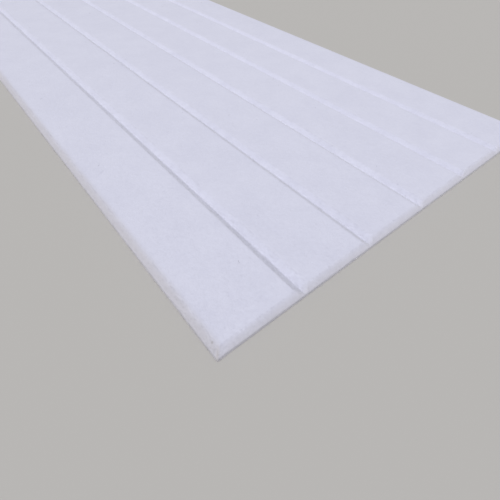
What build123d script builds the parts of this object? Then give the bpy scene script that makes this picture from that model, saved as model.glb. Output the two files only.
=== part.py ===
# Acoustic panel of needled polyester felt: one board whose face is cut into strips by wide, shallow
# V-grooves and framed by a bevel. The grooves run the whole length and come out through the bevel
# of each short end as notches. Two panels laid edge to edge close up to a deeper V.
# Millimetres. X runs along the board, Y across it, the back lies on Z = 0 and the grooved face
# looks up. The origin is the middle of the back.

import os

from build123d import *

# The board
length = 1200.0
width = 600.0
thickness = 12.0

# The bevel round the face, cut at 45 degrees, and the upright land left under it
bevel = 6.0
land = thickness - bevel

# The V-grooves
strip_count = 6
groove_width = 16.0
groove_depth = 5.0

# Felt never keeps a knife edge, so every arris is a little round
face_arris_radius = 4.0
foot_arris_radius = 1.5
back_arris_radius = 1.0
groove_shoulder_radius = 5.0
groove_root_radius = 1.0
end_arris_radius = 1.0

strip_pitch = width / strip_count
groove_half_width = groove_width / 2
level_tolerance = 0.001


def corners_at(sketch: BuildSketch, height: float) -> ShapeList[Vertex]:
    """Corners of a section that stand at one height above the back, from one end of it to the other."""
    lowest = height - level_tolerance
    highest = height + level_tolerance
    return sketch.vertices().filter_by_position(Axis.Y, lowest, highest).sort_by(Axis.X)


def bevelled_outline(sketch: BuildSketch, span: float) -> None:
    """Draw a board of one span in the sketch, with a bevel at both top corners and a soft foot to each."""
    Rectangle(span, thickness, align=(Align.CENTER, Align.MIN))
    chamfer(corners_at(sketch, thickness), length=bevel)
    fillet(corners_at(sketch, land), radius=foot_arris_radius)


with BuildPart() as acoustic_panel:
    # Cross section: the bevelled board, then the same V on every line between two strips
    with BuildSketch(Plane.YZ) as cross_section:
        bevelled_outline(cross_section, width)
        fillet(corners_at(cross_section, thickness), radius=face_arris_radius)
        fillet(corners_at(cross_section, 0), radius=back_arris_radius)
        with Locations((0, thickness)):
            with GridLocations(strip_pitch, thickness, strip_count - 1, 1):
                Polygon(
                    (-groove_half_width, 0),
                    (0, -groove_depth),
                    (groove_half_width, 0),
                    align=None,
                    mode=Mode.SUBTRACT,
                )
        # The first and last corners at face height belong to the bevels, which are round already
        fillet(corners_at(cross_section, thickness)[1:-1], radius=groove_shoulder_radius)
        fillet(corners_at(cross_section, thickness - groove_depth), radius=groove_root_radius)
    extrude(amount=length / 2, both=True)

    # Lengthwise section: the same bevel at both ends, which opens the grooves as notches
    with BuildSketch(Plane.XZ) as long_section:
        bevelled_outline(long_section, length)
    extrude(amount=width / 2, both=True, mode=Mode.INTERSECT)

    # Each end's whole outline is softened: back, upright corners, mitres, arris and notches
    ends = acoustic_panel.faces().filter_by(lambda face: abs(face.center().X) > length / 4)
    seams = ends.edges().filter_by(Axis.Y).filter_by_position(Axis.Z, level_tolerance, thickness - level_tolerance)
    fillet(ends.edges() - seams, radius=end_arris_radius)

acoustic_panel.part.label = "acoustic_panel"

os.makedirs("parts", exist_ok=True)
export_step(acoustic_panel.part, "parts/acoustic_panel.step")
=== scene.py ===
"""Acoustic panel of needled polyester felt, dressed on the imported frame.

The board lies on its back with the grooved face up. X runs along it, Y across it and Z out of the
face; everything is in metres in the frame's own axes, and sizes written in millimetres say so.
"""

import logging
import math
from dataclasses import dataclass, field, replace
from enum import Enum

import bpy
import numpy as np
from mathutils import Matrix, Vector


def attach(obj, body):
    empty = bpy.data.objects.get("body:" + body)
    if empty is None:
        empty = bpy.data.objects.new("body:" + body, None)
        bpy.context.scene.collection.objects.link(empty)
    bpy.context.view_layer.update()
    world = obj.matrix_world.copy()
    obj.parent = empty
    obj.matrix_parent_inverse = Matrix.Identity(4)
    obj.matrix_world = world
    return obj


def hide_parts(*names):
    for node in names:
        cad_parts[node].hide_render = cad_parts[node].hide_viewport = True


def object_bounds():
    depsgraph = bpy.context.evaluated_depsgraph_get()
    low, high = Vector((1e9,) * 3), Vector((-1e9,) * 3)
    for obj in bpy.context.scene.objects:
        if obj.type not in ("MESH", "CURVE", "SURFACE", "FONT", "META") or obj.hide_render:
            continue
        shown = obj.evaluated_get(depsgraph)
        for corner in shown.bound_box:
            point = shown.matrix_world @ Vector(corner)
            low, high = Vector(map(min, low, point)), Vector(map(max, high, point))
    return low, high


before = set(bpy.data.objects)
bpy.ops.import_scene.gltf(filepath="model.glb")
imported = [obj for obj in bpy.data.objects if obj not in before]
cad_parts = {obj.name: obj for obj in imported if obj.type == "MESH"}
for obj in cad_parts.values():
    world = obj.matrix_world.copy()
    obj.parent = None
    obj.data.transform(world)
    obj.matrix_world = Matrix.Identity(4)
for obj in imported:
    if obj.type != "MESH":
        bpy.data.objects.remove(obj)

Tree = bpy.types.NodeTree
Socket = bpy.types.NodeSocket
Piece = bpy.types.Object
Array = np.ndarray

LOG = logging.getLogger("acoustic_panel")
MM = 0.001
CAD_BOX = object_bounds()
BOARD_MM = tuple(round((high - low) / MM, 3) for low, high in zip(*CAD_BOX))

# A noise texture's value seldom leaves this part of its 0 to 1
NOISE_SPAN = (0.35, 0.65)
EASED = {"interpolation_type": "SMOOTHSTEP"}

# A noise's octaves, and how much of its strength each finer one keeps
Grain = tuple[float, float]


# Small tools


def linear_colour(hex_code: str) -> tuple[float, float, float, float]:
    """Turn an sRGB hex code into a linear colour.

    Args:
        hex_code: Six hex digits, red first.

    Returns:
        Linear red, green and blue, and an alpha of one.
    """
    levels = np.array([int(hex_code[i : i + 2], 16) for i in (0, 2, 4)]) / 255.0
    linear = np.where(levels <= 0.04045, levels / 12.92, ((levels + 0.055) / 1.055) ** 2.4)
    return (float(linear[0]), float(linear[1]), float(linear[2]), 1.0)


def add_node(
    tree: Tree,
    kind: str,
    settings: dict[str | int, object] | None = None,
    links: dict[str | int, Socket] | None = None,
    output: str | int = 0,
) -> Socket | None:
    """Add one shader node with its settings and the links into it.

    Args:
        tree: The node tree that gets the node.
        kind: The node's type name, less the ShaderNode that all of them start with.
        settings: Node properties by name, or input values by socket name or number.
        links: Sources by the socket name or number they feed.
        output: Name or number of the wanted output.

    Returns:
        That output, or None from a node that has none.
    """
    node = tree.nodes.new("ShaderNode" + kind)
    for key, value in (settings or {}).items():
        if isinstance(key, str) and key in node.bl_rna.properties:
            setattr(node, key, value)
        else:
            node.inputs[key].default_value = value
    for key, source in (links or {}).items():
        tree.links.new(source, node.inputs[key])
    return node.outputs[output] if node.outputs else None


def mesh_object(name: str, points: Array, faces: Array, slots: Array | None = None) -> Piece:
    """Make a smooth-shaded object at the origin from arrays.

    Args:
        name: The piece's name.
        points: Vertex positions in metres, one row each.
        faces: Vertex numbers of the faces, four or three to a row, counter-clockwise from outside.
        slots: Material slot number of each face, or None for the first slot everywhere.

    Returns:
        The linked object.
    """
    corners = faces.shape[1]
    mesh = bpy.data.meshes.new(name)
    mesh.vertices.add(len(points))
    mesh.vertices.foreach_set("co", np.ascontiguousarray(points, np.float32).ravel())
    mesh.loops.add(faces.size)
    mesh.loops.foreach_set("vertex_index", np.ascontiguousarray(faces, np.int32).ravel())
    mesh.polygons.add(len(faces))
    mesh.polygons.foreach_set("loop_start", np.arange(0, faces.size, corners, dtype=np.int32))
    mesh.polygons.foreach_set("use_smooth", np.ones(len(faces), bool))
    if slots is not None:
        mesh.polygons.foreach_set("material_index", np.ascontiguousarray(slots, np.int32))
    mesh.update(calc_edges=True)
    mesh.validate()
    piece = bpy.data.objects.new(name, mesh)
    bpy.context.scene.collection.objects.link(piece)
    return piece


def unit(rows: Array) -> Array:
    """Scale the vectors along the last axis to a length of one."""
    return rows / np.linalg.norm(rows, axis=-1, keepdims=True)


def vertex_normals(points: Array, quads: Array) -> Array:
    """Unit normals at the vertices: the sum of the cross products of each face's diagonals.

    Args:
        points: Vertex positions.
        quads: Four vertex numbers a face, counter-clockwise from outside.

    Returns:
        One outward unit vector for each vertex.
    """
    corner = [points[quads[:, i]] for i in range(4)]
    across = np.cross(corner[2] - corner[0], corner[3] - corner[1])
    total = np.zeros_like(points)
    for i in range(4):
        np.add.at(total, quads[:, i], across)
    return unit(total)


def cloud(points: Array, pitch: float, seed: int) -> Array:
    """Smooth random values between 0 and 1 that wander over space.

    Random numbers stand on a cubic lattice of the given pitch, each found by hashing its three
    whole-number places. Between them the value is the trilinear blend of the eight nearest, each
    fraction first eased by 3t^2 - 2t^3.

    Args:
        points: Positions, one row each, in the pitch's unit.
        pitch: Spacing of the lattice.
        seed: Number that fixes the lattice.

    Returns:
        One value for each point.
    """
    table_size, hash_shift = 4096, 13
    hash_primes = np.array([73856093, 19349663, 83492791])
    table = np.random.default_rng(seed).random(table_size)
    cell = np.floor(points / pitch).astype(np.int64)
    part = points / pitch - cell
    part = part * part * (3.0 - 2.0 * part)
    value = np.zeros(len(points))
    for corner in np.ndindex(2, 2, 2):
        step = np.array(corner)
        key = (cell + step) @ hash_primes
        weight = np.prod(np.where(step == 1, part, 1.0 - part), axis=1)
        value += weight * table[np.mod(key ^ (key >> hash_shift), table_size)]
    return value


# Finishes


class Finish:
    """What all finishes share: each mixes a shader, which becomes a material of its name."""

    name: str

    def shader(self, tree: Tree) -> Socket:
        """Mix the finish's own shader."""
        raise NotImplementedError

    def material(self) -> bpy.types.Material:
        """Build the material round the shader.

        Returns:
            A material that reads Object coordinates only.
        """
        material = bpy.data.materials.new(self.name)
        material.use_nodes = True
        tree = material.node_tree
        tree.nodes.clear()
        add_node(tree, "OutputMaterial", {}, {"Surface": self.shader(tree)})
        return material


@dataclass(frozen=True)
class DustAndShade:
    """Grey dust from handling and painted shade on the bevel, by the distance in from the outline.

    A thin layer of dust reaches a little way in over the face. A second layer of the same grey lies on
    the bevel and the face's edge: a little of it is dust, most of it painted shade that darkens the bevel.
    The board is held by its long sides, so its ends have less dust and less painted shade, in a narrower
    band. The mitres' ridges, which face the key light more squarely, get extra painted shade.
    """

    tone: str = "BBB7BB"
    half_board_mm: tuple[float, float] = (BOARD_MM[0] / 2, BOARD_MM[1] / 2)
    end_share: float = 0.7
    end_ease_mm: float = 3.0
    mitre_blend_mm: float = 4.0
    # Painted shade on the mitres' ridges, which face the key light more squarely: its share and reach
    mitre_shade: float = 0.6
    mitre_reach_mm: float = 3.5
    # For the dust layer and the painted-shade layer: its share, and the insets where it is whole and gone
    layers: tuple[tuple[float, float, float], ...] = ((0.25, 0.0, 14.0), (0.37, 3.0, 11.0))
    patch_mm: float = 15.0
    patch_grain: Grain = (4.0, 0.6)
    patch_wander_mm: float = 3.0

    def share(self, tree: Tree, place: Socket) -> Socket:
        """Work out how much dust and painted shade lie at a place.

        The inset is the smaller of the distances to the nearest end and long side, taken smoothly,
        and noise moves it in and out. Each layer eases from whole to gone between its two insets.
        Their sum is less where the end is nearer than the side, and painted shade is added
        where both are as near.

        Args:
            tree: The material's node tree.
            place: Position in millimetres.

        Returns:
            The share of the dust and the painted shade in the colour.
        """
        axes = add_node(tree, "SeparateXYZ", {}, {0: place}).node
        insets = {}
        for axis, ease in enumerate((self.end_ease_mm, 0.0)):
            away = add_node(tree, "Math", {"operation": "ABSOLUTE"}, {0: axes.outputs[axis]})
            reach = self.half_board_mm[axis] + ease
            insets[axis] = add_node(tree, "Math", {"operation": "SUBTRACT", 0: reach}, {1: away})
        blend = self.mitre_blend_mm
        inset = add_node(tree, "Math", {"operation": "SMOOTH_MIN", 2: blend}, insets)
        octaves, kept = self.patch_grain
        grain = {"Scale": 1.0 / self.patch_mm, "Detail": octaves, "Roughness": kept}
        patch = add_node(tree, "TexNoise", grain, {"Vector": place})
        wander = {"operation": "MULTIPLY_ADD", 1: -self.patch_wander_mm}
        pushed = add_node(tree, "Math", wander, {0: patch, 2: inset})
        middle_push = 0.5 * self.patch_wander_mm
        sums = {}
        # The thin dust layer, then the painted shade over the bevel
        for number, (whole_share, whole, gone) in enumerate(self.layers):
            span = {"From Min": whole - middle_push, "From Max": gone - middle_push}
            fade = EASED | span | {"To Min": whole_share, "To Max": 0.0}
            sums[number] = add_node(tree, "MapRange", fade, {"Value": pushed})
        dust_and_shade = add_node(tree, "Math", {"operation": "ADD"}, sums)

        # Less of both towards the ends, and extra painted shade along the mitres' ridges
        lead = add_node(tree, "Math", {"operation": "SUBTRACT"}, insets)
        by_side = {"From Min": -blend, "From Max": blend, "To Min": self.end_share}
        from_ridge = add_node(tree, "Math", {"operation": "SUBTRACT", 1: self.end_ease_mm}, {0: lead})
        side_share = add_node(tree, "MapRange", EASED | by_side, {"Value": from_ridge})
        off_ridge = add_node(tree, "Math", {"operation": "ABSOLUTE"}, {0: from_ridge})
        by_ridge = {"From Max": self.mitre_reach_mm, "To Min": self.mitre_shade, "To Max": 0.0}
        ridge_shade = add_node(tree, "MapRange", EASED | by_ridge, {"Value": off_ridge})
        strength = add_node(tree, "Math", {"operation": "ADD"}, {0: side_share, 1: ridge_shade})
        return add_node(tree, "Math", {"operation": "MULTIPLY"}, {0: dust_and_shade, 1: strength})


@dataclass(frozen=True)
class DirtSpot:
    """A small soiled place where the board was once knocked: brown-grey and soft at its rim."""

    place_mm: tuple[float, float, float]
    tone: str = "8C8580"
    core_mm: float = 0.5
    rim_mm: float = 1.7
    core_share: float = 0.36

    def share(self, tree: Tree, place: Socket) -> Socket:
        """Work out how much dirt lies at a place: it eases out from the core to the rim.

        Args:
            tree: The material's node tree.
            place: Position in millimetres.

        Returns:
            The dirt's share of the colour.
        """
        gap = {"operation": "DISTANCE", 1: self.place_mm}
        away = add_node(tree, "VectorMath", gap, {0: place}, "Value")
        span = {"From Min": self.core_mm, "From Max": self.rim_mm}
        fade = EASED | span | {"To Min": self.core_share, "To Max": 0.0}
        return add_node(tree, "MapRange", fade, {"Value": away})


@dataclass(frozen=True)
class NeedledFelt(Finish):
    """White needled polyester felt: crimped staple fibres tangled by barbed needles."""

    name: str
    tone: str
    hollow_tone: str
    strand_mm: tuple[float, float, float]
    strand_depth_mm: float
    lump_mm: float
    lump_depth_mm: float
    needle_mark_mm: float
    needle_mark_depth_mm: float
    cloud_mm: float
    cloud_share: float
    # Shares of painted shade: in low lumps, and in the hollows between strands and in needle marks
    lump_shade_share: float
    hollow_share: float
    roughness: float
    sheen: float
    soiling_and_shade: tuple[DustAndShade | DirtSpot, ...] = ()
    ior: float = 1.54
    specular_level: float = 0.25
    sheen_roughness: float = 0.55
    # Strands lie three ways, on ridges as wide as this part of the noise that draws them
    strand_turns_deg: tuple[float, float, float] = (8.0, 69.0, 130.0)
    strand_octaves: float = 1.5
    ridge_share: float = 0.14
    # Crimp: a strand's course is pushed aside by up to a millimetre or so
    crimp_mm: float = 4.5
    crimp_octaves: float = 1.0
    crimp_push_mm: float = 3.0
    lump_grain: Grain = (3.0, 0.62)
    web_grain: Grain = (3.0, 0.55)
    # Needle marks stand this far out of order; their core and rim are shares of their spacing
    needle_disorder: float = 0.85
    needle_mark_reach: tuple[float, float] = (0.08, 0.34)

    def strand_mat(self, tree: Tree, place: Socket) -> Socket:
        """Draw a mat of crossing strands: long thin noise laid three ways.

        The noise is folded at its middle value, so that each place where it passes the middle is
        a ridge, and the highest of the three lies on top.

        Args:
            tree: The material's node tree.
            place: Position in millimetres.

        Returns:
            Height of the mat, 0 between strands and 1 on their backs.
        """
        wave = {"Scale": 1.0 / self.crimp_mm, "Detail": self.crimp_octaves}
        crimp = add_node(tree, "TexNoise", wave, {"Vector": place}, "Color")
        reach = {"operation": "SCALE", "Scale": self.crimp_push_mm}
        push = add_node(tree, "VectorMath", reach, {0: crimp})
        bent = add_node(tree, "VectorMath", {"operation": "ADD"}, {0: place, 1: push})
        thin = tuple(1.0 / size for size in self.strand_mm)
        drawn = {"Scale": 1.0, "Detail": self.strand_octaves}
        middle = 0.5
        ridges = []
        for turn in self.strand_turns_deg:
            laying = {"Rotation": (0.0, 0.0, math.radians(turn)), "Scale": thin}
            laid = add_node(tree, "Mapping", laying, {"Vector": bent})
            noise = add_node(tree, "TexNoise", drawn, {"Vector": laid})
            fold = add_node(tree, "Math", {"operation": "PINGPONG", 1: middle}, {0: noise})
            rise = {"From Min": middle - self.ridge_share, "From Max": middle}
            ridges.append(add_node(tree, "MapRange", EASED | rise, {"Value": fold}))
        mat = ridges[0]
        for ridge in ridges[1:]:
            mat = add_node(tree, "Math", {"operation": "MAXIMUM"}, {0: mat, 1: ridge})
        return mat

    def shader(self, tree: Tree) -> Socket:
        """Mix the felt: its relief as bump, its tone, and the dust, dirt and painted shade laid over it.

        Args:
            tree: The material's node tree.

        Returns:
            The shader.
        """
        origin = add_node(tree, "TexCoord", output="Object")
        place = add_node(tree, "VectorMath", {"operation": "SCALE", "Scale": 1.0 / MM}, {0: origin})
        mat = self.strand_mat(tree, place)
        noises = []
        for width, grain in ((self.lump_mm, self.lump_grain), (self.cloud_mm, self.web_grain)):
            settings = {"Scale": 1.0 / width, "Detail": grain[0], "Roughness": grain[1]}
            noises.append(add_node(tree, "TexNoise", settings, {"Vector": place}))
        lumps, web = noises
        punches = {"Scale": 1.0 / self.needle_mark_mm, "Randomness": self.needle_disorder}
        needle = add_node(tree, "TexVoronoi", punches, {"Vector": place}, "Distance")
        core, rim = self.needle_mark_reach
        fade = {"From Min": core, "From Max": rim, "To Min": 1.0, "To Max": 0.0}
        mark = add_node(tree, "MapRange", EASED | fade, {"Value": needle})

        # Height in millimetres: strands and lumps up, needle marks down
        height = add_node(tree, "Math", {"operation": "MULTIPLY", 1: self.strand_depth_mm}, {0: mat})
        for relief, depth in ((lumps, self.lump_depth_mm), (mark, -self.needle_mark_depth_mm)):
            height = add_node(tree, "Math", {"operation": "MULTIPLY_ADD", 1: depth}, {0: relief, 2: height})
        bump = add_node(tree, "Bump", {"Strength": 1.0, "Distance": MM}, {"Height": height})

        # Tone: hollows between strands, low places and needle marks hold a little shade, and the
        # web is thicker in some places than others, which shows as faint clouds
        low, high = NOISE_SPAN
        shade = add_node(tree, "Math", {"operation": "MULTIPLY", 1: self.hollow_share}, {0: mark})
        for source, start, end, at_start, at_end in (
            (web, low, high, 0.0, self.cloud_share),
            (mat, 0.0, 1.0, self.hollow_share, 0.0),
            (lumps, low, high, self.lump_shade_share, 0.0),
        ):
            span = {"From Min": start, "From Max": end, "To Min": at_start, "To Max": at_end}
            part = add_node(tree, "MapRange", span, {"Value": source})
            shade = add_node(tree, "Math", {"operation": "ADD"}, {0: shade, 1: part})
        tones = {"data_type": "RGBA", 6: linear_colour(self.tone), 7: linear_colour(self.hollow_tone)}
        colour = add_node(tree, "Mix", tones, {0: shade}, output=2)
        # Dust and painted shade near the outline, and the dirt spot, mixed over the tone
        for soil_and_shade in self.soiling_and_shade:
            tint = {"data_type": "RGBA", 7: linear_colour(soil_and_shade.tone)}
            colour = add_node(tree, "Mix", tint, {0: soil_and_shade.share(tree, place), 6: colour}, output=2)
        finish = {
            "Roughness": self.roughness,
            "IOR": self.ior,
            "Specular IOR Level": self.specular_level,
            "Sheen Weight": self.sheen,
            "Sheen Roughness": self.sheen_roughness,
        }
        return add_node(tree, "BsdfPrincipled", finish, {"Base Color": colour, "Normal": bump})


DUST_AND_SHADE = DustAndShade()
NEAR_BEVEL_SPOT = DirtSpot(place_mm=(587.4, -295.6, 10.4))

# Heat-pressed skin: fibres lie flat and crossed, so the face looks smooth and even from a step
# away, with a soft bloom at low angles and faint clouds where the web is thicker.
# The real fibres are 0.03 mm thick; the strands drawn here are bundles of them, about 0.4 mm.
PRESSED_FACE = NeedledFelt(
    name="needled_felt_pressed_face",
    tone="DADBED",
    hollow_tone="C4C5DA",
    strand_mm=(6.0, 0.45, 0.45),
    strand_depth_mm=0.08,
    lump_mm=5.0,
    lump_depth_mm=0.34,
    needle_mark_mm=2.6,
    needle_mark_depth_mm=0.04,
    cloud_mm=42.0,
    cloud_share=0.15,
    lump_shade_share=0.14,
    hollow_share=0.11,
    roughness=0.92,
    sheen=0.25,
    soiling_and_shade=(DUST_AND_SHADE,),
)

# Cut by the V-cutter: the skin is gone and the web stands open, so the grooves look rougher
# than the face, with lumps where tufts were torn rather than cut.
V_CUT = replace(
    PRESSED_FACE,
    name="needled_felt_v_cut",
    hollow_tone="C0C1D5",
    strand_mm=(7.0, 0.6, 0.35),
    strand_depth_mm=0.18,
    lump_mm=3.2,
    lump_depth_mm=0.28,
    needle_mark_mm=3.4,
    needle_mark_depth_mm=0.08,
    cloud_mm=24.0,
    cloud_share=0.2,
    lump_shade_share=0.09,
    hollow_share=0.15,
    roughness=0.96,
    sheen=0.35,
)

# The bevel is the same cut, but it is where the board is held and rubbed: its fibres lie a
# little flatter, and handling dust takes the blue out of the white towards the foot. The
# same grey is also painted shade that darkens the bevel, most towards its foot and on the mitres.
HANDLED_SHADED_BEVEL = replace(
    V_CUT,
    name="needled_felt_handled_shaded_bevel",
    strand_depth_mm=0.16,
    lump_mm=3.6,
    lump_depth_mm=0.36,
    cloud_mm=19.0,
    lump_shade_share=0.12,
    roughness=0.95,
    sheen=0.3,
    soiling_and_shade=(DUST_AND_SHADE, NEAR_BEVEL_SPOT),
)

# Sheared through the thickness: the batts lie in layers parallel to the face, so the upright
# edge shows faint level lines, thin in Z and long across it.
SHEARED_EDGE = replace(
    V_CUT,
    name="needled_felt_sheared_edge",
    tone="D8D8E9",
    hollow_tone="BBBCCE",
    strand_mm=(14.0, 1.2, 0.30),
    strand_depth_mm=0.22,
    lump_mm=3.0,
    lump_depth_mm=0.55,
    needle_mark_mm=3.0,
    needle_mark_depth_mm=0.12,
    cloud_mm=20.0,
    lump_shade_share=0.14,
    hollow_share=0.22,
)

# The back was pressed against the belt: flatter than the face, a little greyer, with the
# needles' exit marks plainer to see.
PRESSED_BACK = replace(
    PRESSED_FACE,
    name="needled_felt_pressed_back",
    tone="D6D7E8",
    hollow_tone="BDBED1",
    strand_mm=(6.0, 0.5, 0.5),
    strand_depth_mm=0.07,
    lump_mm=6.0,
    lump_depth_mm=0.2,
    needle_mark_mm=2.4,
    needle_mark_depth_mm=0.12,
    cloud_mm=55.0,
    cloud_share=0.25,
    lump_shade_share=0.12,
    hollow_share=0.14,
    roughness=0.88,
    sheen=0.18,
    soiling_and_shade=(),
)


class Surface(Enum):
    """The board's surfaces, by how each was made. The value is the finish that each has."""

    PRESSED_FACE = PRESSED_FACE
    V_CUT = V_CUT
    HANDLED_SHADED_BEVEL = HANDLED_SHADED_BEVEL
    SHEARED_EDGE = SHEARED_EDGE
    PRESSED_BACK = PRESSED_BACK

    @property
    def slot(self) -> int:
        """Number of the surface's material slot."""
        return list(Surface).index(self)


@dataclass(frozen=True)
class StapleFibre(Finish):
    """A single drawn polyester fibre: smooth and round, so it catches a thin light along its length."""

    name: str
    tone: str
    streak_tone: str
    streak_mm: float
    roughness: float
    ior: float = 1.58

    def shader(self, tree: Tree) -> Socket:
        """Mix the fibre, whose tone drifts slowly from place to place.

        Args:
            tree: The material's node tree.

        Returns:
            The shader.
        """
        origin = add_node(tree, "TexCoord", output="Object")
        grain = {"Scale": 1.0 / (self.streak_mm * MM), "Detail": 1.0}
        drift = add_node(tree, "TexNoise", grain, {"Vector": origin})
        low, high = NOISE_SPAN
        share = add_node(tree, "MapRange", {"From Min": low, "From Max": high}, {"Value": drift})
        tones = {"data_type": "RGBA", 6: linear_colour(self.tone), 7: linear_colour(self.streak_tone)}
        colour = add_node(tree, "Mix", tones, {0: share}, output=2)
        finish = {"Roughness": self.roughness, "IOR": self.ior}
        return add_node(tree, "BsdfPrincipled", finish, {"Base Color": colour})


# White fibres pulled out of the web by the cutter and the needles: a fine pale fuzz.
WHITE_FIBRE = StapleFibre("polyester_fibre_white", "E2E2EC", "CFCFDC", streak_mm=9.0, roughness=0.5)

# Stray grey fibres from recycled stock, pressed into the face: the felt's few dark specks.
GREY_FIBRE = StapleFibre("polyester_fibre_grey", "6E6E78", "94949E", streak_mm=5.0, roughness=0.6)


@dataclass(frozen=True)
class PaleFloor(Finish):
    """Matt painted floor: even and pale, a shade below the felt so that the felt reads as white."""

    name: str = "matt_painted_floor"
    tone: str = "B9B7B5"
    roughness: float = 0.9

    def shader(self, tree: Tree) -> Socket:
        """Mix the paint, the same all over."""
        settings = {"Base Color": linear_colour(self.tone), "Roughness": self.roughness}
        return add_node(tree, "BsdfPrincipled", settings)


# The felt board


@dataclass
class FeltBoard:
    """The one solid board: pressed face, V-grooves, bevel all round, upright land and back."""

    length_mm: float = BOARD_MM[0]
    width_mm: float = BOARD_MM[1]
    thickness_mm: float = BOARD_MM[2]
    bevel_mm: float = 6.0
    strip_count: int = 6
    groove_width_mm: float = 16.0
    groove_depth_mm: float = 5.0
    face_arris_mm: float = 4.0
    foot_arris_mm: float = 1.5
    back_arris_mm: float = 1.0
    shoulder_mm: float = 5.0
    root_mm: float = 1.0
    corner_mm: float = 1.2
    mitre_blend_mm: float = 1.0
    # Power of the norm that joins the bevel's drop and a groove's: the higher, the sharper
    join_power: int = 6
    # A drop past this has cut the pressed skin
    skin_mm: float = 0.01
    # Felt is never dead flat: it sinks by shares of three clouds, each with its width in mm
    sink_mm: float = 0.16
    sink_clouds: tuple[tuple[float, float], ...] = ((0.45, 60.0), (0.35, 21.0), (0.2, 9.0))
    # Widest spacing of the grid lines across and along the board
    line_step_mm: float = 5.6
    strip_step_mm: float = 8.0
    # Grid lines by their inset over the bevel, closest on its two arcs, and by their distance
    # from a groove's root, closest on its shoulder
    bevel_lines_mm: tuple[float, ...] = (
        *(0.0, 0.06, 0.22, 0.46, 1.2, 2.3, 3.6),
        *(4.75, 5.3, 5.85, 6.45, 7.1, 7.8, 9.2),
    )
    groove_lines_mm: tuple[float, ...] = (0.0, 0.5, 1.6, 3.4, 5.2, 6.5, 7.1, 7.9, 8.7, 9.6, 11.5)
    # Rings down the land, and the turns of those round the back arris
    land_rings: int = 3
    back_turns_deg: tuple[float, ...] = (0.0, 25.0, 50.0, 72.0)

    def groove_places(self) -> Array:
        """Y of the grooves' roots in millimetres, one between each two strips."""
        pitch = self.width_mm / self.strip_count
        return (np.arange(1, self.strip_count) - self.strip_count / 2) * pitch

    def bevel_drop(self, inset: Array) -> Array:
        """How far the bevel has sunk below the face.

        Flat, then an arc of the face arris' radius that turns 45 degrees, then the slope where
        the drop is the bevel's size less the inset, then an arc of the foot's radius that ends
        upright at the land.

        Args:
            inset: Distance in from the board's outline, in millimetres.

        Returns:
            Drop below the face in millimetres.
        """
        size, face, foot = self.bevel_mm, self.face_arris_mm, self.foot_arris_mm
        lean = math.radians(45.0)
        tangent = math.tan(lean / 2)
        into_face = np.clip(size + face * tangent - inset, 0.0, face)
        at_face = face - np.sqrt(face**2 - into_face**2)
        into_foot = np.clip(foot - inset, 0.0, foot)
        at_foot = size + foot * tangent - np.sqrt(foot**2 - into_foot**2)
        drop = np.where(inset > size - face * tangent * math.cos(lean), at_face, size - inset)
        return np.where(inset < foot * tangent * math.cos(lean), at_foot, drop)

    def groove_drop(self, y: Array) -> Array:
        """How far the V-grooves have sunk below the face.

        With d the distance from the nearest root line, the wall's drop is (half width - d) times
        the slope. An arc of the shoulder radius leads into it and an arc of the root radius
        closes it at the bottom.

        Args:
            y: Place across the board in millimetres.

        Returns:
            Drop below the face in millimetres.
        """
        away = np.abs(y[..., None] - self.groove_places()).min(axis=-1)
        half = self.groove_width_mm / 2
        lean = math.atan2(self.groove_depth_mm, half)
        tangent = self.shoulder_mm * math.tan(lean / 2)
        into_arc = np.clip(half + tangent - away, 0.0, self.shoulder_mm)
        shoulder = self.shoulder_mm - np.sqrt(self.shoulder_mm**2 - into_arc**2)
        wall = (half - away) * math.tan(lean)
        centre = self.groove_depth_mm - self.root_mm / math.cos(lean)
        root = centre + np.sqrt(np.maximum(self.root_mm**2 - away**2, 0.0))
        drop = np.where(away > half - tangent * math.cos(lean), shoulder, wall)
        return np.where(away < self.root_mm * math.sin(lean), root, drop)

    def line_places(self, span_mm: float, step_mm: float, detail: Array) -> Array:
        """Places of the grid lines along one axis.

        Args:
            span_mm: The board's size along the axis.
            step_mm: Widest spacing over plain felt.
            detail: Places that need lines of their own.

        Returns:
            Sorted places in millimetres, from one outline to the other.
        """
        insets = np.array(self.bevel_lines_mm)
        fixed = np.concatenate([insets - span_mm / 2, span_mm / 2 - insets, detail])
        fixed = np.unique(np.round(fixed, 4))
        counts = np.maximum(np.ceil(np.diff(fixed) / step_mm).astype(int), 1)
        starts = np.repeat(fixed[:-1], counts)
        widths = np.repeat(np.diff(fixed) / counts, counts)
        within = np.arange(counts.sum()) - np.repeat(np.cumsum(counts) - counts, counts)
        return np.append(starts + widths * within, fixed[-1])

    def insets_from(self, x: Array, y: Array) -> tuple[Array, Array]:
        """Distances in from the nearest end and the nearest long side, in millimetres."""
        return self.length_mm / 2 - np.abs(x), self.width_mm / 2 - np.abs(y)

    def drawn_in(self, x: Array, y: Array, inset: float) -> tuple[Array, Array]:
        """Draw places in towards the middle until the outline stands back by the inset."""
        return x * (1 - 2 * inset / self.length_mm), y * (1 - 2 * inset / self.width_mm)

    def round_corners(self, x: Array, y: Array) -> tuple[Array, Array]:
        """Pull the square corner of every level outline on to a quarter circle.

        On an outline with a given inset, a point past the arc's centre in both x and y moves along
        the ray from that centre until it is one corner radius away.

        Args:
            x: Places along the board in millimetres.
            y: Places across it.

        Returns:
            The moved x and y.
        """
        to_end, to_side = self.insets_from(x, y)
        inset = np.minimum(to_end, to_side)
        past_x = inset + self.corner_mm - to_end
        past_y = inset + self.corner_mm - to_side
        reach = np.hypot(past_x, past_y)
        beyond = (past_x > 0) & (past_y > 0)
        pull = 1.0 - np.divide(self.corner_mm, reach, out=np.ones_like(reach), where=beyond)
        return np.sign(x) * (np.abs(x) - past_x * pull), np.sign(y) * (np.abs(y) - past_y * pull)

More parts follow.
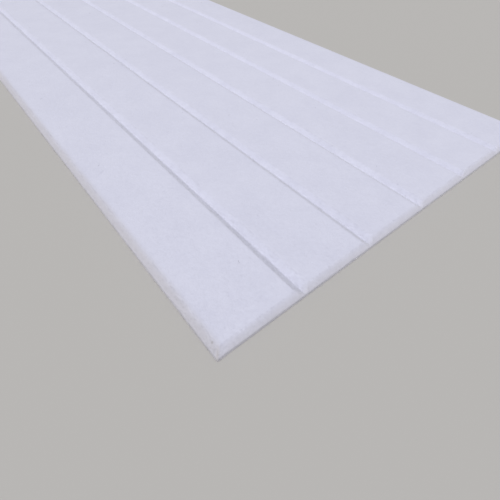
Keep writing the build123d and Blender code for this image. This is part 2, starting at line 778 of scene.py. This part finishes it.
    def top_height(self, x: Array, y: Array) -> Array:
        """Height of the top surface above the back.

        The inset is the smaller of the two distances to the outline, blended where they are nearly
        equal so that the mitres are soft. The bevel's drop and the grooves' drop join by a norm of
        high power: where one is nought the other stands unchanged, and where both bite their
        meeting is rounded.

        Args:
            x: Places along the board in millimetres.
            y: Places across it.

        Returns:
            Height in millimetres.
        """
        to_end, to_side = self.insets_from(x, y)
        blend = self.mitre_blend_mm
        overlap = np.clip(1.0 - np.abs(to_end - to_side) / blend, 0.0, 1.0)
        near = np.minimum(to_end, to_side)
        inset = near - overlap**2 * np.clip(near, 0.0, blend) / 4
        power = self.join_power
        drop = (self.bevel_drop(inset) ** power + self.groove_drop(y) ** power) ** (1 / power)
        return self.thickness_mm - drop

    def wall_rings(self, flat_x: Array, flat_y: Array) -> list[Array]:
        """Vertices of the rings down the upright land and round the back arris.

        Args:
            flat_x: X of the outline's grid points in order, in millimetres, corners still square.
            flat_y: Their y.

        Returns:
            One array of vertices a ring, from just under the land's top to just off the back.
        """
        radius, turn = self.back_arris_mm, np.radians(self.back_turns_deg)
        land_top = self.thickness_mm - float(self.bevel_drop(np.zeros(1))[0])
        land = np.linspace(land_top, radius, self.land_rings + 2)[1:-1]
        insets = np.concatenate([np.zeros_like(land), radius * (1 - np.cos(turn))])
        heights = np.concatenate([land, radius * (1 - np.sin(turn))])
        rings = []
        for inset, height in zip(insets, heights):
            x, y = self.round_corners(*self.drawn_in(flat_x, flat_y, inset))
            rings.append(np.stack([x, y, np.full_like(x, height)], axis=-1))
        return rings

    def surface_kinds(self, middles: Array, wall_count: int) -> Array:
        """Tell which Surface each face belongs to, by what cut deepest at its middle.

        Args:
            middles: Middles of the top grid's faces in millimetres.
            wall_count: How many faces the walls have.

        Returns:
            A Surface's slot number for each face: the top, the walls, then the back.
        """
        bevel = self.bevel_drop(np.minimum(*self.insets_from(middles[:, 0], middles[:, 1])))
        groove = self.groove_drop(middles[:, 1])
        cut = np.where(bevel > groove, Surface.HANDLED_SHADED_BEVEL.slot, Surface.V_CUT.slot)
        top = np.where(np.maximum(bevel, groove) < self.skin_mm, Surface.PRESSED_FACE.slot, cut)
        walls = np.full(wall_count, Surface.SHEARED_EDGE.slot)
        return np.concatenate([top, walls, np.full(len(middles), Surface.PRESSED_BACK.slot)])

    def surface(self) -> tuple[Array, Array, Array]:
        """Work out the closed surface: the top grid, rings down the sides and the back grid.

        Returns:
            Vertices in millimetres, faces of four vertex numbers, and each face's slot number.
        """
        beside = np.array(self.groove_lines_mm)
        detail = (self.groove_places()[:, None] + np.concatenate([-beside, beside])).ravel()
        xs = self.line_places(self.length_mm, self.line_step_mm, np.array([0.0]))
        ys = self.line_places(self.width_mm, self.strip_step_mm, detail)
        flat_x, flat_y = np.meshgrid(xs, ys, indexing="ij")
        round_x, round_y = self.round_corners(flat_x, flat_y)
        top = np.stack([round_x, round_y, self.top_height(flat_x, flat_y)], axis=-1).reshape(-1, 3)

        # The outline's vertices in order, counter-clockwise seen from above
        number = np.arange(flat_x.size).reshape(flat_x.shape)
        loop = np.concatenate([number[:-1, 0], number[-1, :-1], number[:0:-1, -1], number[0, :0:-1]])
        rings = self.wall_rings(flat_x.ravel()[loop], flat_y.ravel()[loop])

        # The back repeats the top's grid, drawn in by the back arris
        back_x, back_y = self.drawn_in(round_x, round_y, self.back_arris_mm)
        back = np.stack([back_x, back_y, np.zeros_like(back_x)], axis=-1).reshape(-1, 3)
        points = np.concatenate([top, *rings, back])

        sides = [number[:-1, :-1], number[1:, :-1], number[1:, 1:], number[:-1, 1:]]
        grid = np.stack(sides, axis=-1).reshape(-1, 4)
        back_start = len(points) - len(back)
        between = np.arange(len(top), back_start).reshape(len(rings), len(loop))
        levels = [loop, *between, back_start + loop]
        walls = [
            np.stack([upper, lower, np.roll(lower, -1), np.roll(upper, -1)], axis=-1)
            for upper, lower in zip(levels[:-1], levels[1:])
        ]
        faces = np.concatenate([grid, *walls, grid[:, ::-1] + back_start])
        kinds = self.surface_kinds(points[grid].mean(axis=1), sum(len(wall) for wall in walls))
        return points, faces, kinds

    def sunk(self, points: Array, faces: Array) -> Array:
        """Let the surface sink unevenly along its own normals, never outwards.

        The depth is the sink's size times the sum of the clouds, each by its share.

        Args:
            points: Vertices in millimetres.
            faces: Four vertex numbers a face.

        Returns:
            The moved vertices.
        """
        wander = np.zeros(len(points))
        for seed, (share, width_mm) in enumerate(self.sink_clouds, start=11):
            wander += share * cloud(points, width_mm, seed)
        return points - vertex_normals(points, faces) * (self.sink_mm * wander)[:, None]

    def build(self) -> Piece:
        """Build the board, dress its five surfaces and let it stand for the CAD solid.

        Returns:
            The board.
        """
        points, faces, kinds = self.surface()
        piece = mesh_object("felt_board", self.sunk(points, faces) * MM, faces, kinds)
        for surface in Surface:
            piece.data.materials.append(surface.value.material())
        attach(piece, "root")
        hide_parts("acoustic_panel")
        return piece


# Fibres


@dataclass
class Fibres:
    """Loose fibres as thin three-sided tubes, each a bowed and crimped path."""

    # Real fibres are 0.03 mm thick, too fine to show, so they are drawn four times as thick
    thickness_mm: float = 0.12
    segments: int = 5
    tip_share: float = 0.35
    sway_share: tuple[float, float] = (0.06, 0.26)
    sway_turn: float = 4.5
    floor_gap_mm: float = 0.02

    def paths(
        self, roots: Array, heading: Array, lift: Array, lengths: Array, rise: Array, seed: int
    ) -> Array:
        """Lay one path a fibre.

        With t from 0 to 1 along it, a point is root + length * (t * heading) + rise * 4t(1-t) *
        lift, swayed sideways by a sine of random phase that grows from nought at the root.

        Args:
            roots: Start points in millimetres.
            heading: Unit directions in which the fibres run.
            lift: Unit directions in which they bow out.
            lengths: How far each runs, in millimetres.
            rise: How far each bows out, in millimetres.
            seed: Number that fixes the sway.

        Returns:
            Points in millimetres, by fibre, by place along it.
        """
        random = np.random.default_rng(seed)
        t = np.linspace(0.0, 1.0, self.segments + 1)[None, :, None]
        side = np.cross(heading, lift)
        phase = random.uniform(0, 2 * math.pi, (len(roots), 1, 1))
        sway = lengths[:, None, None] * random.uniform(*self.sway_share, (len(roots), 1, 1))
        path = roots[:, None, :] + lengths[:, None, None] * t * heading[:, None, :]
        path = path + (rise[:, None, None] * 4 * t * (1 - t)) * lift[:, None, :]
        return path + sway * t * np.sin(phase + self.sway_turn * t) * side[:, None, :]

    def tubes(self, paths: Array) -> tuple[Array, Array]:
        """Carry a triangle along every path and close both ends.

        The triangle's corners stand at thirds of a turn round the path's direction, and it tapers
        towards the last point.

        Args:
            paths: Points in millimetres, by fibre, by place along it.

        Returns:
            Vertices in millimetres and faces of three vertex numbers.
        """
        count, places, _ = paths.shape
        ahead = unit(np.gradient(paths, axis=1))
        # Any direction that no fibre runs in serves to turn the triangles alike
        aside = unit(np.cross(ahead, np.array([0.31, 0.22, 0.92])))
        above = np.cross(aside, ahead)
        radius = self.thickness_mm / 2 * np.linspace(1.0, self.tip_share, places)[None, :, None]
        corners = [
            paths + radius * (math.cos(turn) * aside + math.sin(turn) * above)
            for turn in (0.0, 2 * math.pi / 3, 4 * math.pi / 3)
        ]
        points = np.stack(corners, axis=2).reshape(-1, 3)

        number = np.arange(count * places * 3).reshape(count, places, 3)
        here, there = number[:, :-1, :], number[:, 1:, :]
        here_next, there_next = np.roll(here, -1, axis=2), np.roll(there, -1, axis=2)
        lower = np.stack([here, there, here_next], axis=-1).reshape(-1, 3)
        upper = np.stack([here_next, there, there_next], axis=-1).reshape(-1, 3)
        ends = np.concatenate([number[:, 0, :], number[:, -1, ::-1]])
        return points, np.concatenate([lower, upper, ends])

    def make(self, name: str, paths: Array, finish: StapleFibre) -> Piece:
        """Make the fibres one piece that rides on the board.

        Args:
            name: The piece's name.
            paths: Points in millimetres, by fibre, by place along it.
            finish: What the fibres are made of.

        Returns:
            The piece.
        """
        points, faces = self.tubes(paths)
        points[:, 2] = np.maximum(points[:, 2], self.floor_gap_mm)
        piece = mesh_object(name, points * MM, faces)
        piece.data.materials.append(finish.material())
        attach(piece, "root")
        return piece


@dataclass
class ArrisFuzz:
    """Fibres that the cutter left standing along every arris of the board."""

    board: FeltBoard
    fibres: Fibres = field(default_factory=Fibres)
    spacing_mm: float = 4.5
    shortest_mm: float = 1.2
    longest_mm: float = 5.0
    root_depth_mm: float = 0.25
    spread: float = 0.35
    stand_share: tuple[float, float] = (0.05, 0.55)
    rise_mm: tuple[float, float] = (0.1, 0.7)
    # Upward part of the fibres' direction for each unit outward
    face_lean: float = 1.2
    foot_lean: float = 0.45
    back_lean: float = -0.1
    groove_lean: float = 2.0
    groove_sink_mm: float = 0.15

    def along_lines(self, lines: Array, seed: int) -> Array:
        """Scatter fibres evenly at random along straight arrises.

        Args:
            lines: Each arris' start and end in millimetres, and which way its fibres stand out.
            seed: Number that fixes the scatter.

        Returns:
            Paths in millimetres, by fibre, by place along it.
        """
        random = np.random.default_rng(seed)
        starts, ends, outward = lines[:, 0], lines[:, 1], lines[:, 2]
        spans = np.linalg.norm(ends - starts, axis=1)
        counts = np.maximum((spans / self.spacing_mm).astype(int), 1)
        line = np.repeat(np.arange(len(spans)), counts)
        total = len(line)
        run, out = (ends - starts)[line], unit(outward)[line]
        stand = unit(out + random.normal(0, self.spread, (total, 3)))
        roots = starts[line] + run * random.random((total, 1)) - self.root_depth_mm * out
        way = np.where(random.random((total, 1)) < 0.5, -1.0, 1.0)
        heading = unit(unit(run) * way + stand * random.uniform(*self.stand_share, (total, 1)))
        lengths = self.shortest_mm + (self.longest_mm - self.shortest_mm) * random.random(total) ** 2
        rise = random.uniform(*self.rise_mm, total)
        return self.fibres.paths(roots, heading, stand, lengths, rise, seed + 1)

    def outline_lines(self) -> Array:
        """The arrises round the board: face arris, bevel foot and back arris on all four sides.

        Returns:
            A start, an end and an outward direction for each.
        """
        board = self.board
        arc_middle = board.back_arris_mm * (1 - math.sqrt(0.5))
        lines = []
        for inset, height, lean in (
            (board.bevel_mm, board.thickness_mm, self.face_lean),
            (0.0, board.thickness_mm - board.bevel_mm, self.foot_lean),
            (arc_middle, arc_middle, self.back_lean),
        ):
            x, y = board.length_mm / 2 - inset, board.width_mm / 2 - inset
            for sign in (-1.0, 1.0):
                lines.append([(-x, sign * y, height), (x, sign * y, height), (0.0, sign, lean)])
                lines.append([(sign * x, -y, height), (sign * x, y, height), (sign, 0.0, lean)])
        return np.array(lines)

    def groove_lines(self) -> Array:
        """The two shoulders of every groove, as far as the end bevels.

        Returns:
            A start, an end and an outward direction for each.
        """
        board = self.board
        x = board.length_mm / 2 - board.bevel_mm
        height = board.thickness_mm - self.groove_sink_mm
        lines = []
        for sign in (-1.0, 1.0):
            for y in board.groove_places() + sign * board.groove_width_mm / 2:
                lines.append([(-x, y, height), (x, y, height), (0.0, -sign, self.groove_lean)])
        return np.array(lines)

    def build(self) -> list[Piece]:
        """Build the fuzz round the outline and along the grooves.

        Returns:
            The two pieces.
        """
        outline = self.along_lines(self.outline_lines(), seed=31)
        grooves = self.along_lines(self.groove_lines(), seed=41)
        return [
            self.fibres.make("outline_fuzz", outline, WHITE_FIBRE),
            self.fibres.make("groove_fuzz", grooves, WHITE_FIBRE),
        ]


@dataclass
class FaceFibres:
    """Single fibres that lie on the face: white ones that worked loose and a few grey strays."""

    board: FeltBoard
    white: Fibres = field(default_factory=lambda: Fibres(thickness_mm=0.11, segments=8))
    grey: Fibres = field(default_factory=lambda: Fibres(thickness_mm=0.3, segments=4))
    white_count: int = 900
    grey_count: int = 46
    white_length_mm: tuple[float, float] = (4.0, 13.0)
    grey_length_mm: tuple[float, float] = (1.0, 3.2)
    root_depth_mm: float = 0.05
    rise_mm: tuple[float, float] = (0.02, 0.3)
    grey_stands_mm: float = 0.02
    # Clear of a groove by this share of the longest fibre
    clear_share: float = 0.6

    def scatter(self, fibres: Fibres, count: int, length_mm: tuple[float, float], seed: int) -> Array:
        """Scatter fibres over the strips, clear of grooves and bevel, lying almost flat.

        Args:
            fibres: How the fibres are drawn.
            count: How many.
            length_mm: Shortest and longest.
            seed: Number that fixes the scatter.

        Returns:
            Paths in millimetres, by fibre, by place along it.
        """
        random = np.random.default_rng(seed)
        board, longest = self.board, length_mm[1]
        pitch = board.width_mm / board.strip_count
        strip = random.integers(0, board.strip_count, count)
        clear = board.groove_width_mm / 2 + longest * self.clear_share
        y = -board.width_mm / 2 + strip * pitch + random.uniform(clear, pitch - clear, count)
        x = random.uniform(-1, 1, count) * (board.length_mm / 2 - board.bevel_mm - longest)
        roots = np.stack([x, y, np.full(count, board.thickness_mm - self.root_depth_mm)], axis=1)
        turn = random.uniform(0, 2 * math.pi, count)
        heading = np.stack([np.cos(turn), np.sin(turn), np.zeros(count)], axis=1)
        lift = np.tile([0.0, 0.0, 1.0], (count, 1))
        lengths = random.uniform(*length_mm, count)
        rise = random.uniform(*self.rise_mm, count)
        return fibres.paths(roots, heading, lift, lengths, rise, seed + 1)

    def build(self) -> list[Piece]:
        """Build the white and the grey fibres.

        Returns:
            The two pieces.
        """
        white = self.scatter(self.white, self.white_count, self.white_length_mm, 51)
        grey = self.scatter(self.grey, self.grey_count, self.grey_length_mm, 61)
        grey[..., 2] = np.minimum(grey[..., 2], self.board.thickness_mm + self.grey_stands_mm)
        return [
            self.white.make("face_fibres", white, WHITE_FIBRE),
            self.grey.make("grey_specks", grey, GREY_FIBRE),
        ]


# Studio


@dataclass
class Studio:
    """Plain pale floor, soft light from above and the photograph's camera."""

    floor_radius_m: float = 40.0
    floor_corners: int = 96
    # The camera stands low over the board's near corner and looks down along its diagonal
    camera_m: tuple[float, float, float] = (0.6937, -0.3587, 0.2648)
    azimuth_deg: float = 47.50
    elevation_deg: float = 48.76
    roll_deg: float = 4.02
    lens_mm: float = 24.15
    seen_from_m: float = 0.01
    seen_to_m: float = 120.0
    fill: float = 0.35
    fill_tone: str = "FFFFFF"
    key: float = 2.36
    # The key light leans this far in x and y for each unit of height
    key_lean: tuple[float, float] = (0.42, -0.54)
    key_height_m: float = 3.0
    key_spread_deg: float = 40.0
    backdrop: str = "BAB8B6"

    def floor(self) -> None:
        """Lay a round floor under the board: a fan of triangles about its middle."""
        turn = np.linspace(0.0, 2 * math.pi, self.floor_corners, endpoint=False)
        rim = np.stack([np.cos(turn), np.sin(turn), np.zeros_like(turn)], axis=1) * self.floor_radius_m
        here = np.arange(self.floor_corners) + 1
        fan = np.stack([np.zeros_like(here), here, np.roll(here, -1)], axis=1)
        ground = mesh_object("floor", np.concatenate([np.zeros((1, 3)), rim]), fan)
        ground.data.materials.append(PaleFloor().material())

    def world(self) -> None:
        """Light the scene evenly from all round, with a pale backdrop for the camera and for gloss."""
        world = bpy.data.worlds.new("studio")
        bpy.context.scene.world = world
        world.use_nodes = True
        tree = world.node_tree
        tree.nodes.clear()
        rays = add_node(tree, "LightPath").node.outputs
        seen = rays["Is Camera Ray"]
        for kind in ("Is Glossy Ray", "Is Transmission Ray"):
            seen = add_node(tree, "Math", {"operation": "MAXIMUM"}, {0: seen, 1: rays[kind]})
        shown = {0: seen}
        for socket, tone, strength in ((1, self.fill_tone, self.fill), (2, self.backdrop, 1.0)):
            settings = {"Color": linear_colour(tone), "Strength": strength}
            shown[socket] = add_node(tree, "Background", settings)
        mixed = add_node(tree, "MixShader", {}, shown)
        add_node(tree, "OutputWorld", {}, {"Surface": mixed})

    def key_light(self) -> None:
        """Hang one wide, even light high over the near corner."""
        data = bpy.data.lights.new("overhead_softbox", "SUN")
        data.energy = self.key
        data.angle = math.radians(self.key_spread_deg)
        lamp = bpy.data.objects.new("overhead_softbox", data)
        lamp.location = Vector((*self.key_lean, 1.0)) * self.key_height_m
        lamp.rotation_euler = (-lamp.location).to_track_quat("-Z", "Y").to_euler()
        bpy.context.scene.collection.objects.link(lamp)

    def camera(self) -> None:
        """Set up the camera: turned by its roll, tipped down from upright, then swung to its azimuth."""
        data = bpy.data.cameras.new("camera")
        data.lens = self.lens_mm
        data.clip_start = self.seen_from_m
        data.clip_end = self.seen_to_m
        camera = bpy.data.objects.new("camera", data)
        swing = Matrix.Rotation(math.radians(self.azimuth_deg), 4, "Z")
        tip = Matrix.Rotation(math.radians(90 - self.elevation_deg), 4, "X")
        roll = Matrix.Rotation(math.radians(self.roll_deg), 4, "Z")
        camera.matrix_world = Matrix.Translation(self.camera_m) @ swing @ tip @ roll
        bpy.context.scene.collection.objects.link(camera)
        bpy.context.scene.camera = camera

    def build(self) -> None:
        """Set up floor, light and camera."""
        bpy.context.scene.view_settings.view_transform = "Standard"
        self.floor()
        self.world()
        self.key_light()
        self.camera()


def main() -> None:
    """Build the board, its fibres and the studio, and report each piece."""
    logging.basicConfig(level=logging.INFO, format="%(name)s: %(message)s")
    board = FeltBoard()
    made = [board.build()]
    made += ArrisFuzz(board).build()
    made += FaceFibres(board).build()
    for piece in made:
        piece.data.calc_loop_triangles()
        LOG.info("%s has %d triangles", piece.name, len(piece.data.loop_triangles))
    Studio().build()


if __name__ == "__main__":
    main()
